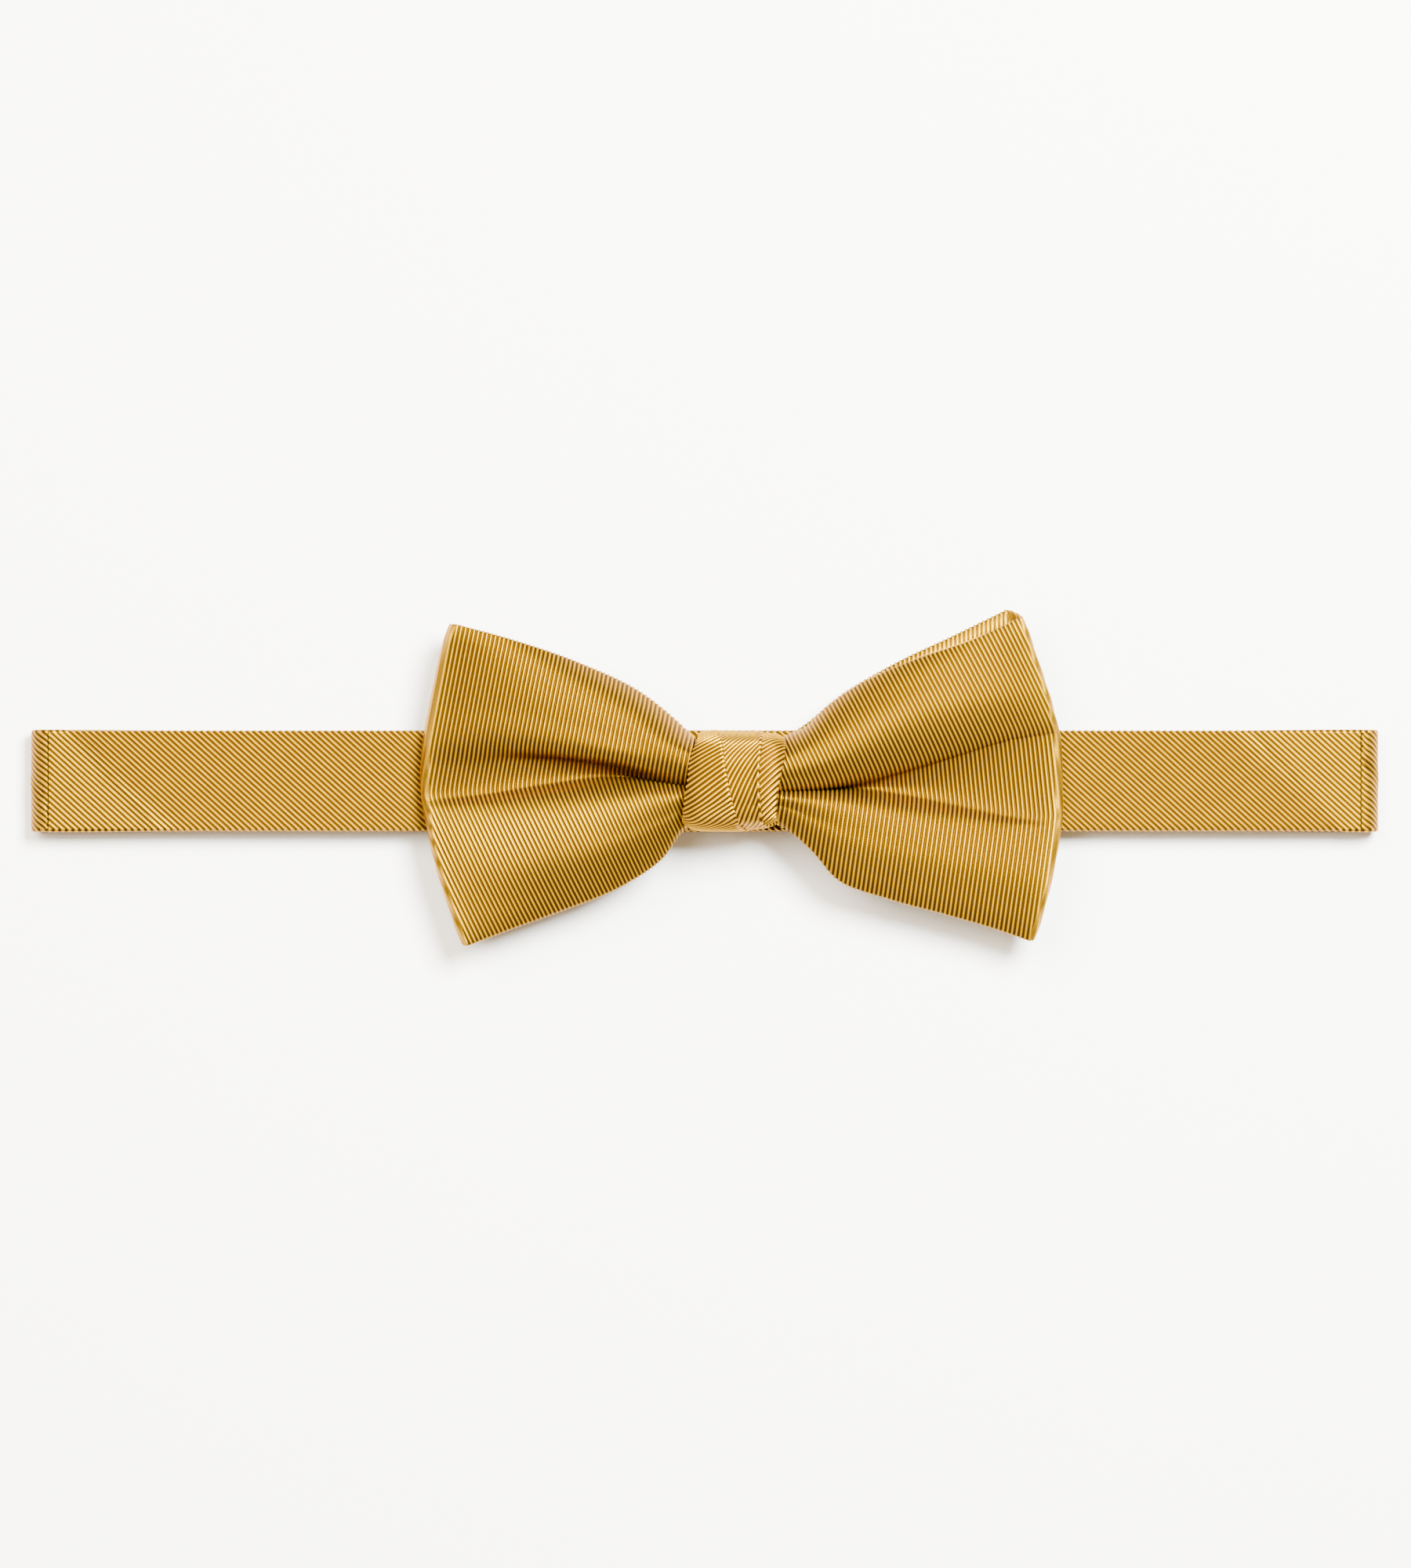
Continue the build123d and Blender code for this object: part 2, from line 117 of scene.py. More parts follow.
def ribbed_faille(name, settings, lift=1.0, cleft=1.0, relief_mm=0.028):
    """Faille: fine warp threads over thick weft cords, woven in lustrous polyester.

    A drawn polyester filament returns light in its own colour, which gives the eye a part-metallic lustre.
    The cords stand as real ribs; the shader paints shade into the cleft between two of them, in the
    near-black cleft colour, and adds the fine warp that crosses them and slow changes of tone. UV u counts
    ribs, and UV v is millimetres along a rib.

    lift scales the cords' colour; above one on the knot's bias-cut cloth it is a painted sheen that draws
    the whole cloth brighter. cleft scales the painted shade in the clefts and is less than one where a fold
    pulls the cords flat, and relief_mm is the height of the cords that the bump adds to the mesh.
    """
    material, tree = new_material(name)
    uv = add_node(tree, "ShaderNodeTexCoord").outputs["UV"]
    split = add_node(tree, "ShaderNodeSeparateXYZ", None, {0: uv})
    phase = add_node(tree, "ShaderNodeMath", {"operation": "MULTIPLY"},
                     {0: split.outputs[0], 1: FULL_TURN})
    wave = add_node(tree, "ShaderNodeMath", {"operation": "COSINE"}, {0: phase.outputs[0]})
    # Painted shade: the rib's cosine draws each place towards the cleft colour, darkest in the clefts; cleft
    # sets how far.
    crown = add_node(tree, "ShaderNodeMapRange", None,
                     {"Value": wave.outputs[0], "From Min": -0.5, "From Max": 0.95,
                      "To Min": 1 - cleft, "To Max": 1.0})
    place = add_node(tree, "ShaderNodeTexCoord").outputs["Object"]
    tone = add_node(tree, "ShaderNodeTexNoise", None,
                    {"Vector": place, "Scale": 260.0, "Detail": 3.0})
    slub = add_node(tree, "ShaderNodeCombineXYZ", None, {0: split.outputs[0], 1: split.outputs[1]})
    stretch = add_node(tree, "ShaderNodeMapping", None,
                       {"Vector": slub.outputs[0], "Scale": (1.7, 0.9, 1.0)})
    grain = add_node(tree, "ShaderNodeTexNoise", None,
                     {"Vector": stretch.outputs[0], "Scale": 2.6, "Detail": 2.0})
    warp = add_node(tree, "ShaderNodeMath", {"operation": "MULTIPLY"},
                    {0: split.outputs[1], 1: FULL_TURN / settings.warp_pitch})
    warp_wave = add_node(tree, "ShaderNodeMath", {"operation": "SINE"}, {0: warp.outputs[0]})
    cord = add_node(tree, "ShaderNodeMix", {"data_type": "RGBA"},
                    {"Factor": tone.outputs["Fac"], "A": linear(settings.cord_colour),
                     "B": linear(settings.cord_light)})
    body = add_node(tree, "ShaderNodeMix", {"data_type": "RGBA"},
                    {"Factor": crown.outputs[0], "A": linear(settings.cleft_shade_colour),
                     "B": cord.outputs["Result"]})
    # lift scales these flecks and so the whole colour; on the knot's cloth it is a painted sheen.
    fleck = add_node(tree, "ShaderNodeMapRange", None,
                     {"Value": grain.outputs["Fac"], "From Min": 0.3, "From Max": 0.7,
                      "To Min": 0.86 * lift, "To Max": 1.08 * lift})
    colour = add_node(tree, "ShaderNodeMix", {"data_type": "RGBA", "blend_type": "MULTIPLY"},
                      {"Factor": 1.0, "A": body.outputs["Result"], "B": fleck.outputs[0]})
    height = add_node(tree, "ShaderNodeMath", {"operation": "MULTIPLY_ADD"},
                      {0: warp_wave.outputs[0], 1: 0.18, 2: wave.outputs[0]})
    relief = add_node(tree, "ShaderNodeMath", {"operation": "MULTIPLY_ADD"},
                      {0: grain.outputs["Fac"], 1: 0.5, 2: height.outputs[0]})
    bump = add_node(tree, "ShaderNodeBump", None,
                    {"Strength": 1.0, "Distance": relief_mm * MM, "Height": relief.outputs[0]})
    shader = add_node(tree, "ShaderNodeBsdfPrincipled", None,
                      {"Base Color": colour.outputs["Result"], "Metallic": 0.7, "Roughness": 0.35,
                       "IOR": 1.5, "Specular IOR Level": 0.8, "Specular Tint": linear("#FFCA00"),
                       "Normal": bump.outputs[0]})
    finish_material(tree, shader)
    return material


def plain_weave(name, hex_colour, roughness, thread_mm):
    """Plain-woven or needled backing cloth: matt, with a fine even grid of threads thread_mm apart."""
    material, tree = new_material(name)
    place = add_node(tree, "ShaderNodeTexCoord").outputs["Object"]
    cells = add_node(tree, "ShaderNodeTexVoronoi", None, {"Vector": place, "Scale": 1 / (thread_mm * MM)})
    tone = add_node(tree, "ShaderNodeMapRange", None,
                    {"Value": cells.outputs["Distance"], "To Min": 0.8, "To Max": 1.05})
    bump = add_node(tree, "ShaderNodeBump", None,
                    {"Strength": 0.4, "Distance": 0.1 * MM, "Height": cells.outputs["Distance"]})
    shader = add_node(tree, "ShaderNodeBsdfPrincipled", None,
                      {"Base Color": tinted(tree, hex_colour, tone), "Roughness": roughness,
                       "Sheen Weight": 0.2, "Normal": bump.outputs[0]})
    finish_material(tree, shader)
    return material


def twisted_thread(name, hex_colour, light_hex):
    """Twisted polyester sewing thread: slight gloss, and a fine slanting ply of two tones."""
    material, tree = new_material(name)
    place = add_node(tree, "ShaderNodeTexCoord").outputs["Object"]
    ply = add_node(tree, "ShaderNodeTexWave", None, {"Vector": place, "Scale": 900.0, "Distortion": 1.0})
    colour = add_node(tree, "ShaderNodeMix", {"data_type": "RGBA"},
                      {"Factor": ply.outputs["Fac"], "A": linear(hex_colour), "B": linear(light_hex)})
    bump = add_node(tree, "ShaderNodeBump", None,
                    {"Strength": 0.5, "Distance": 0.05 * MM, "Height": ply.outputs["Fac"]})
    shader = add_node(tree, "ShaderNodeBsdfPrincipled", None,
                      {"Base Color": colour.outputs["Result"], "Roughness": 0.5, "Normal": bump.outputs[0]})
    finish_material(tree, shader)
    return material


def pale_gold_plate(name, hex_colour):
    """Pressed steel with a thin pale gold plating, barrel polished: a faintly cloudy gloss."""
    material, tree = new_material(name)
    place = add_node(tree, "ShaderNodeTexCoord").outputs["Object"]
    cloud = add_node(tree, "ShaderNodeTexNoise", None, {"Vector": place, "Scale": 420.0, "Detail": 4.0})
    rough = add_node(tree, "ShaderNodeMapRange", None,
                     {"Value": cloud.outputs["Fac"], "To Min": 0.2, "To Max": 0.36})
    bump = add_node(tree, "ShaderNodeBump", None,
                    {"Strength": 0.15, "Distance": 0.05 * MM, "Height": cloud.outputs["Fac"]})
    shader = add_node(tree, "ShaderNodeBsdfPrincipled", None,
                      {"Base Color": linear(hex_colour), "Metallic": 1.0, "Roughness": rough.outputs[0],
                       "Normal": bump.outputs[0]})
    finish_material(tree, shader)
    return material


def studio_card(name, hex_colour):
    """Matt white laminated board under the bow: almost even, with the faintest mottling."""
    material, tree = new_material(name)
    place = add_node(tree, "ShaderNodeTexCoord").outputs["Object"]
    mottle = add_node(tree, "ShaderNodeTexNoise", None, {"Vector": place, "Scale": 30.0})
    tone = add_node(tree, "ShaderNodeMapRange", None,
                    {"Value": mottle.outputs["Fac"], "To Min": 0.99, "To Max": 1.0})
    shader = add_node(tree, "ShaderNodeBsdfPrincipled", None,
                      {"Base Color": tinted(tree, hex_colour, tone), "Roughness": 0.9,
                       "Specular IOR Level": 0.1})
    finish_material(tree, shader)
    return material


# ---------------------------------------------------------------- surfaces
def through(stations, values, where):
    """Smooth line through values at stations, at the places in where.

    Between two stations it is a cubic that meets both values with their slopes; a slope is the mean of the
    two chords beside its station, each weighted by the other chord's step.
    """
    stations = np.asarray(stations, float)
    values = np.asarray(values, float)
    where = np.asarray(where, float)
    spread = (-1,) + (1,) * (values.ndim - 1)
    step = np.diff(stations)
    chord = np.diff(values, axis=0) / step.reshape(spread)
    slope = np.empty_like(values)
    slope[0] = chord[0]
    slope[-1] = chord[-1]
    share = (step[:-1] / (step[:-1] + step[1:])).reshape(spread)
    slope[1:-1] = chord[:-1] * (1 - share) + chord[1:] * share
    i = np.clip(np.searchsorted(stations, where, side="right") - 1, 0, len(step) - 1)
    h = step[i].reshape(where.shape + spread[1:])
    t = ((where - stations[i]) / step[i]).reshape(where.shape + spread[1:])
    return (values[i] * (1 + 2 * t) * (1 - t) ** 2 + values[i + 1] * t * t * (3 - 2 * t)
            + slope[i] * h * t * (1 - t) ** 2 - slope[i + 1] * h * t * t * (1 - t))


def even_line(points, share):
    """Points at the given shares of the length of a smooth line through listed points."""
    points = np.asarray(points, float)
    span = run_length(points)
    fine = through(span, points, np.linspace(0, span[-1], 400))
    length = run_length(fine)
    return np.stack([np.interp(share * length[-1], length, fine[:, k]) for k in range(points.shape[1])],
                    axis=1)


def run_length(points):
    """Length along a line of points up to each of them."""
    return np.concatenate([[0], np.cumsum(np.linalg.norm(np.diff(points, axis=0), axis=1))])


def row_lengths(surface):
    """Length along each column of a surface, from its first row to each row."""
    return np.cumsum(np.linalg.norm(np.diff(surface, axis=1, prepend=surface[:, :1]), axis=2), axis=1)


def unit(vectors):
    """Each vector divided by its length."""
    return vectors / np.maximum(np.linalg.norm(vectors, axis=-1, keepdims=True), 1e-12)


def make_mesh(name, grid, uv, material, second=None, use_second=None):
    """One mesh from a grid of points (columns, rows, 3) in millimetres, its rows closed into a ring.

    A face closes each end ring, and uv is (columns, rows, 2). The faces are turned round when the volume
    that they enclose, the sum of a . (b x c) over their triangles, comes out negative. The columns marked
    in use_second get the second material.
    """
    columns, rows, _ = grid.shape
    a = np.arange(columns - 1)[:, None] * rows + np.arange(rows)[None, :]
    b = np.arange(columns - 1)[:, None] * rows + (np.arange(rows) + 1)[None, :] % rows
    quads = np.stack([a, a + rows, b + rows, b], axis=-1).reshape(-1, 4)
    points = grid.reshape(-1, 3)
    first_end = np.arange(rows)[::-1]
    last_end = (columns - 1) * rows + np.arange(rows)
    corners = [quads[:, [0, 1, 2]], quads[:, [0, 2, 3]]]
    for end in (first_end, last_end):
        corners.append(np.stack([np.full(rows - 2, end[0]), end[1:-1], end[2:]], axis=-1))
    a, b, c = np.moveaxis((points - points.mean(axis=0))[np.concatenate(corners)], 1, 0)
    if np.sum(a * np.cross(b, c)) < 0:
        quads, first_end, last_end = quads[:, ::-1], first_end[::-1], last_end[::-1]
    mesh = bpy.data.meshes.new(name)
    loops = np.concatenate([quads.ravel(), first_end, last_end])
    sizes = np.concatenate([np.full(len(quads), 4), [rows, rows]])
    mesh.vertices.add(len(points))
    mesh.vertices.foreach_set("co", (points * MM).astype(np.float32).ravel())
    mesh.loops.add(len(loops))
    mesh.loops.foreach_set("vertex_index", loops.astype(np.int32))
    mesh.polygons.add(len(sizes))
    starts = np.concatenate([[0], np.cumsum(sizes)[:-1]])
    mesh.polygons.foreach_set("loop_start", starts.astype(np.int32))
    mesh.update(calc_edges=True)
    layer = mesh.uv_layers.new(name="UVMap")
    layer.data.foreach_set("uv", uv.reshape(-1, 2)[loops].astype(np.float32).ravel())
    mesh.polygons.foreach_set("use_smooth", np.ones(len(sizes), bool))
    mesh.validate()
    mesh.materials.append(material)
    if second:
        mesh.materials.append(second)
        index = np.concatenate([np.repeat(use_second[:-1], rows), use_second[[0, -1]]])
        mesh.polygons.foreach_set("material_index", index.astype(np.int32))
    piece = bpy.data.objects.new(name, mesh)
    bpy.context.scene.collection.objects.link(piece)
    return piece


def cloth_ring(middle, thickness, rib_phase, rib_height, under_rows, edge_steps=5, inward=False):
    """Closed skin of a pressed cloth tube from its middle surface (columns, rows, 3).

    The upper ply is the middle surface moved along its normal by half the thickness and the ribs, which are
    a cosine of the rib phase and a fifth as much of its double. Each long edge is a half circle from the
    upper to the lower ply, and the lower ply is the middle surface moved the other way. inward turns the
    normal round. Returns the points, and the middle surface's row that each row of points comes from.
    """
    along = np.gradient(middle, axis=0)
    across = np.gradient(middle, axis=1)
    normal = unit(np.cross(along, across))
    if inward:
        normal = -normal
    ribs = rib_height * (0.5 * np.cos(FULL_TURN * rib_phase) + 0.1 * np.cos(2 * FULL_TURN * rib_phase))
    half = np.broadcast_to(np.asarray(thickness) / 2, middle.shape[:2]) + ribs
    upper = middle + normal * half[..., None]
    angles = np.linspace(0, math.pi, edge_steps + 2)[1:-1]
    far_out = unit(across[:, -1])
    near_out = -unit(across[:, 0])
    far = [middle[:, -1] + half[:, -1:] * (normal[:, -1] * math.cos(t) + far_out * math.sin(t))
           for t in angles]
    near = [middle[:, 0] + half[:, :1] * (normal[:, 0] * math.cos(t) + near_out * math.sin(t))
            for t in angles[::-1]]
    last_row = middle.shape[1] - 1
    pick = np.linspace(last_row, 0, under_rows).round().astype(int)
    lower = (middle - normal * half[..., None])[:, pick]
    grid = np.concatenate([upper, np.stack(far, axis=1), lower, np.stack(near, axis=1)], axis=1)
    order = np.concatenate([np.arange(last_row + 1), np.full(edge_steps, last_row), pick,
                            np.zeros(edge_steps, int)])
    return grid, order


# ---------------------------------------------------------------- settings a user would change
class BowTieSettings(bpy.types.PropertyGroup):
    """Sizes in millimetres and colours of the cloth"""
    rib_pitch: bpy.props.FloatProperty(name="Rib pitch", description="Crown to crown, in millimetres",
                                       default=0.82, min=0.4, max=3.0)
    rib_height: bpy.props.FloatProperty(name="Rib height", description="Crown above cleft, in millimetres",
                                        default=0.26, min=0.0, max=0.6)
    warp_pitch: bpy.props.FloatProperty(name="Warp pitch",
                                        description="Fine threads over the ribs, in millimetres",
                                        default=0.22, min=0.05, max=1.0)
    leaf_thickness: bpy.props.FloatProperty(name="Leaf thickness",
                                            description="Bow cloth tube, in millimetres",
                                            default=1.3, min=0.5, max=3.0)
    strap_thickness: bpy.props.FloatProperty(name="Strap thickness", description="Neckband, in millimetres",
                                             default=1.15, min=0.5, max=3.0)
    cord_colour: bpy.props.StringProperty(name="Cord colour", description="Darker tone of the ribs",
                                          default="#946D00")
    cord_light: bpy.props.StringProperty(name="Light cord colour", description="Lighter tone of the ribs",
                                         default="#A67C00")
    # Painted shade: the colour drawn into the clefts between two ribs.
    cleft_shade_colour: bpy.props.StringProperty(name="Painted cleft shade", description="Between two ribs",
                                           default="#281500")


def settings():
    """The scene's own copy of the settings."""
    return bpy.context.scene.bow_tie


MADE_MATERIALS = {}


def material(key):
    """The materials, each made once and shared."""
    if key not in MADE_MATERIALS:
        cloth = settings()
        makers = {
            "faille": lambda: ribbed_faille("Gold polyester faille, woven", cloth),
            # Painted sheen: the knot's copy draws its cords 1.3 times brighter.
            "bias": lambda: ribbed_faille("Gold polyester faille, woven, on the bias, painted sheen", cloth, lift=1.3),
            # The fold's copy draws its cords darker and paints only half the shade in the clefts.
            "fold": lambda: ribbed_faille("Gold polyester faille, woven, pressed fold", cloth, lift=0.8,
                                          cleft=0.5),
            "pressed": lambda: ribbed_faille("Gold polyester faille, woven, pressed end", cloth, lift=1.08,
                                             relief_mm=cloth.rib_height * 0.24),
            "canvas": lambda: plain_weave("Bleached cotton canvas, woven", "#DAD3C3", 0.85, 0.35),
            "wadding": lambda: plain_weave("Needled polyester wadding", "#EAE7DF", 0.95, 0.6),
            "thread": lambda: twisted_thread("Gold polyester thread, twisted", "#B98A34", "#E6C474"),
            "metal": lambda: pale_gold_plate("Pale gold plated steel, polished", "#E3C98A"),
            "card": lambda: studio_card("White laminated board, matt", "#EEEEEE"),
        }
        MADE_MATERIALS[key] = makers[key]()
    return MADE_MATERIALS[key]


# ---------------------------------------------------------------- the bow
# Guide lines of each front leaf, from its upper edge to its lower edge. Each runs from inside the knot
# to the outer fold: x, y, z in millimetres.
LEFT_GUIDES = [
    [(3, 4.5, 12.5), (-1.5, 6.6, 12.4), (-5, 10.0, 12.0), (-12, 15.6, 11.6), (-24, 21.3, 11.8),
     (-37, 25.7, 12.9), (-48.0, 28.2, 13.4)],
    [(3, 3.8, 14.5), (-2, 5.0, 15.4), (-6, 8.0, 14.9), (-13, 12.8, 14.4), (-25, 18.2, 13.8),
     (-38, 22.3, 13.2), (-49.3, 24.0, 12.8)],
    [(3, 2.6, 15.6), (-2, 3.0, 16.6), (-7, 4.6, 16.8), (-15, 7.4, 16.1), (-27, 10.6, 14.9),
     (-39, 13.0, 13.0), (-51.4, 13.2, 11.9)],
    [(3, 0.6, 15.0), (-2, 0.9, 16.2), (-8, 1.6, 16.0), (-16, 3.4, 15.8), (-28, 5.2, 14.4), (-40, 6.4, 12.5),
     (-52.6, 6.0, 11.5)],
    [(3, -0.9, 13.5), (-2, -0.9, 14.0), (-9, 0.1, 12.6), (-17, 2.3, 10.4), (-29, 3.6, 9.9),
     (-41, 2.6, 10.3), (-53.0, 1.4, 11.0)],
    [(3, -0.9, 10.0), (-2, -1.3, 9.6), (-10, -0.5, 8.9), (-18, -0.3, 8.6), (-30, -1.5, 9.0),
     (-41, -3.0, 9.8), (-53.0, -3.6, 10.6)],
    [(3, -2.0, 13.2), (-2, -2.4, 14.0), (-10, -2.2, 13.9), (-18, -2.7, 13.3), (-30, -4.0, 12.3),
     (-41, -5.4, 11.7), (-52.6, -6.2, 11.4)],
    [(3, -5.0, 13.4), (-2.5, -5.6, 14.6), (-9, -8.6, 14.8), (-17, -11.4, 14.7), (-29, -13.8, 13.9),
     (-40, -16.0, 12.8), (-51.0, -15.0, 11.9)],
    [(3, -7.0, 12.4), (-3.5, -9.2, 13.4), (-8.1, -15.1, 12.4), (-15.3, -20.0, 12.2), (-27, -24.8, 11.5),
     (-37, -28.4, 11.3), (-45.8, -31.2, 11.4)],
]
RIGHT_GUIDES = [
    [(9, 5.0, 12.5), (14.5, 7.2, 12.6), (18.7, 9.0, 12.4), (22.5, 12.6, 12.0), (29, 17.1, 11.7),
     (40, 22.0, 11.7), (50, 25.4, 12.0), (60.4, 29.4, 12.3)],
    [(9, 4.0, 14.4), (14.5, 5.4, 14.6), (19.5, 7.4, 14.8), (24, 10.6, 14.3), (31, 14.6, 13.6),
     (42, 18.6, 12.9), (52, 21.4, 12.4), (61.9, 24.6, 12.0)],
    [(9, 2.8, 15.6), (14.5, 3.0, 16.4), (20, 3.8, 16.4), (27, 6.6, 15.9), (36, 10.0, 15.0),
     (46, 12.9, 13.7), (56, 14.6, 12.6), (65.2, 14.6, 11.6)],
    [(9, 0.2, 15.2), (14.5, 0.2, 16.0), (21, 0.8, 15.8), (29, 2.6, 14.8), (38, 5.2, 13.7), (48, 8.0, 12.6),
     (57, 10.0, 11.8), (66.2, 10.6, 11.3)],
    [(9, -1.8, 13.6), (14.5, -2.0, 14.2), (21, -1.6, 13.6), (29, -0.2, 12.6), (38, 2.2, 12.0),
     (47, 4.8, 11.5), (57, 7.6, 11.2), (66.7, 8.6, 10.95)],
    [(9, -1.7, 10.5), (14.5, -2.2, 10.2), (21, -1.8, 10.4), (29, -0.6, 10.6), (38, 1.6, 10.7),
     (47, 4.2, 10.7), (57, 7.0, 10.8), (66.8, 8.0, 10.85)],
    [(9, -2.2, 9.8), (14.5, -2.7, 9.6), (21, -2.6, 9.4), (29, -2.9, 9.3), (38, -3.8, 9.3), (47, -5.2, 9.5),
     (57, -6.8, 9.9), (67.1, -7.4, 10.5)],
    [(9, -2.8, 12.8), (14.5, -3.2, 13.9), (21, -3.4, 13.6), (29, -4.3, 12.6), (38, -6.0, 11.8),
     (47, -7.6, 11.3), (57, -9.2, 11.1), (66.9, -10.0, 11.0)],
    [(9, -5.0, 13.4), (14.5, -5.6, 14.6), (21, -8.4, 14.5), (29, -11.4, 13.9), (38, -13.6, 13.3),
     (47, -15.2, 12.9), (57, -17.2, 12.6), (65.2, -19.4, 12.3)],
    [(9, -7.0, 12.4), (14.2, -8.8, 13.8), (19.7, -13.2, 13.7), (25, -19.0, 13.1), (34, -22.4, 12.4),
     (45, -25.4, 12.2), (54, -28.0, 11.9), (62.2, -30.3, 11.6)],
]
# The back leaf lies flat behind: upper edge, middle and lower edge.
LEFT_BACK = [
    [(3, 5.0, 8.6), (-3.5, 8.0, 8.4), (-12, 14.8, 8.0), (-24, 20.9, 7.8), (-37, 25.5, 7.8),
     (-48.3, 28.3, 7.9)],
    [(3, -0.5, 8.4), (-10, -0.6, 7.9), (-24, -0.8, 7.7), (-38, -1.0, 7.7), (-46, -1.0, 7.8),
     (-53.2, -1.0, 7.9)],
    [(3, -6.0, 8.6), (-4.5, -10.2, 8.4), (-12, -17.6, 8.0), (-24, -23.2, 7.8), (-37, -28.0, 7.8),
     (-45.6, -30.8, 7.9)],
]
RIGHT_BACK = [
    [(9, 5.0, 8.6), (17, 8.4, 8.4), (26, 15.4, 8.0), (36, 21.2, 7.8), (47, 26.4, 7.8), (58.0, 31.0, 7.9)],
    [(9, -0.5, 8.4), (24, -0.6, 7.9), (38, -0.4, 7.7), (50, 0.0, 7.7), (60, 0.0, 7.8), (66.8, 0.0, 7.9)],
    [(9, -6.0, 8.6), (17, -10.6, 8.4), (26, -18.6, 8.0), (38, -23.0, 7.8), (51, -26.6, 7.8),
     (61.8, -29.8, 7.9)],
]
WINGS = {
    "left": {"front": LEFT_GUIDES, "back": LEFT_BACK, "outward": -1, "valley": 5, "crease": 5,
             "tilt_up": 0.194, "tilt_between": 0.0, "tilt_down": 0.466},
    "right": {"front": RIGHT_GUIDES, "back": RIGHT_BACK, "outward": 1, "valley": 6, "crease": 4,
              "tilt_up": 0.466, "tilt_between": 0.105, "tilt_down": 0.14},
}
FOLD_REACH = 1.55           # the outer fold stands this far out of the guide lines' ends
FOLD_CROWDING = 1.2         # ribs lie this much closer round the outer fold
FOLD_RIBS = 0.35            # and are pressed to this share of their height
FOLD_FADE = 24              # columns before the fold over which they sink to it
WING_RIB_SPACING = 1.035    # the front leaf is drawn tight, so its ribs lie this much further apart
CORNER_SOFTNESS = 1.2       # rounds the corner between two leans of the ribs, in square millimetres
CANVAS_THICKNESS = 0.3


def guide_grid(guides, columns, rows, pull_in):
    """Surface through guide lines, whose outer ends are drawn in by pull_in.

    Each line is divided evenly along its length, and a smooth curve crosses them, with its stations spaced
    like the mean distances between neighbouring lines. Returns the surface and the divided lines.
    """
    share = np.linspace(0, 1, columns)
    lines = []
    for guide in guides:
        points = np.array(guide, float)
        points[-1, 0] -= pull_in
        lines.append(even_line(points, share))
    lines = np.stack(lines)
    gaps = np.linalg.norm(np.diff(lines, axis=0), axis=2).mean(axis=1)
    stations = np.concatenate([[0], np.cumsum(gaps)])
    where = np.linspace(0, stations[-1], rows)
    return np.moveaxis(through(stations, lines, where), 0, 1), lines


def rib_count(plan_x, plan_y, wing, valley_line, crease_line):
    """Rib phase over the plan: the distance in from the outer fold, in rib pitches.

    It is shifted where the ribs lean away from the valley, above the crease and below the valley, with the
    corner between two leans rounded off, and between the two lines it is shifted evenly.
    """
    way = wing["outward"]
    fold_x = valley_line[-1, 0]
    order = np.argsort(way * valley_line[:, 0])
    valley_y = np.interp(way * plan_x, way * valley_line[order, 0], valley_line[order, 1])
    crease_y = np.interp(way * plan_x, way * crease_line[order, 0], crease_line[order, 1])

    def soft(distance):
        return 0.5 * (distance + np.sqrt(distance ** 2 + CORNER_SOFTNESS))

    shift = (wing["tilt_up"] * soft(plan_y - crease_y) + wing["tilt_down"] * soft(valley_y - plan_y)
             + wing["tilt_between"] * np.clip(plan_y - valley_y, 0, crease_y - valley_y))
    pitch = settings().rib_pitch * WING_RIB_SPACING
    return (way * (fold_x - plan_x) - shift) / pitch


def leaf_profile(rows, crisp_rows):
    """Thickness of a leaf across its rows: full in the middle and pressed to half at the two edges."""
    row = np.arange(rows)
    inward_rows = np.minimum(row, rows - 1 - row)
    return settings().leaf_thickness * (1 - 0.5 * np.clip(1 - inward_rows / crisp_rows, 0, 1) ** 2)


def build_front_leaf(side):
    """Front leaf and outer fold of one wing, as one pressed tube of cloth.

    Round the fold the middle surface goes from the front leaf's end to the back leaf's with the cosine of
    the angle turned, and stands out with its sine.
    """
    wing = WINGS[side]
    way = wing["outward"]
    columns, rows, fold_columns = fineness((440, 120, 44))
    surface, lines = guide_grid(wing["front"], columns, rows, way * FOLD_REACH)
    back_surface, _ = guide_grid(wing["back"], 40, rows, way * FOLD_REACH)
    turn = np.linspace(0, math.pi, fold_columns)[1:, None, None]
    outward = np.array([way, 0.0, 0.0])
    share = (1 - np.cos(turn)) / 2
    radius = FOLD_REACH - settings().leaf_thickness / 2
    fold = surface[-1] * (1 - share) + back_surface[-1] * share + outward * radius * np.sin(turn)
    middle = np.concatenate([surface, fold])
    phase = rib_count(surface[..., 0], surface[..., 1], wing, lines[wing["valley"]], lines[wing["crease"]])
    fold_phase = phase[-1][None] - (turn[..., 0] * radius * FOLD_CROWDING) / settings().rib_pitch
    phase = np.concatenate([phase, fold_phase])
    flatten = np.ones((len(middle), 1))
    flatten[columns:] = FOLD_RIBS
    flatten[columns - FOLD_FADE:columns, 0] = np.linspace(1, FOLD_RIBS, FOLD_FADE)
    grid, order = cloth_ring(middle, leaf_profile(rows, crisp_rows=7), phase,
                             settings().rib_height * flatten, under_rows=12, inward=way > 0)
    uv = np.stack([phase[:, order], row_lengths(middle)[:, order]], axis=-1)
    piece = make_mesh(f"bow_front_leaf_{side}", grid, uv, material("faille"), material("fold"),
                      np.arange(len(middle)) >= columns - 1)
    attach(piece, ROOT)
    return piece


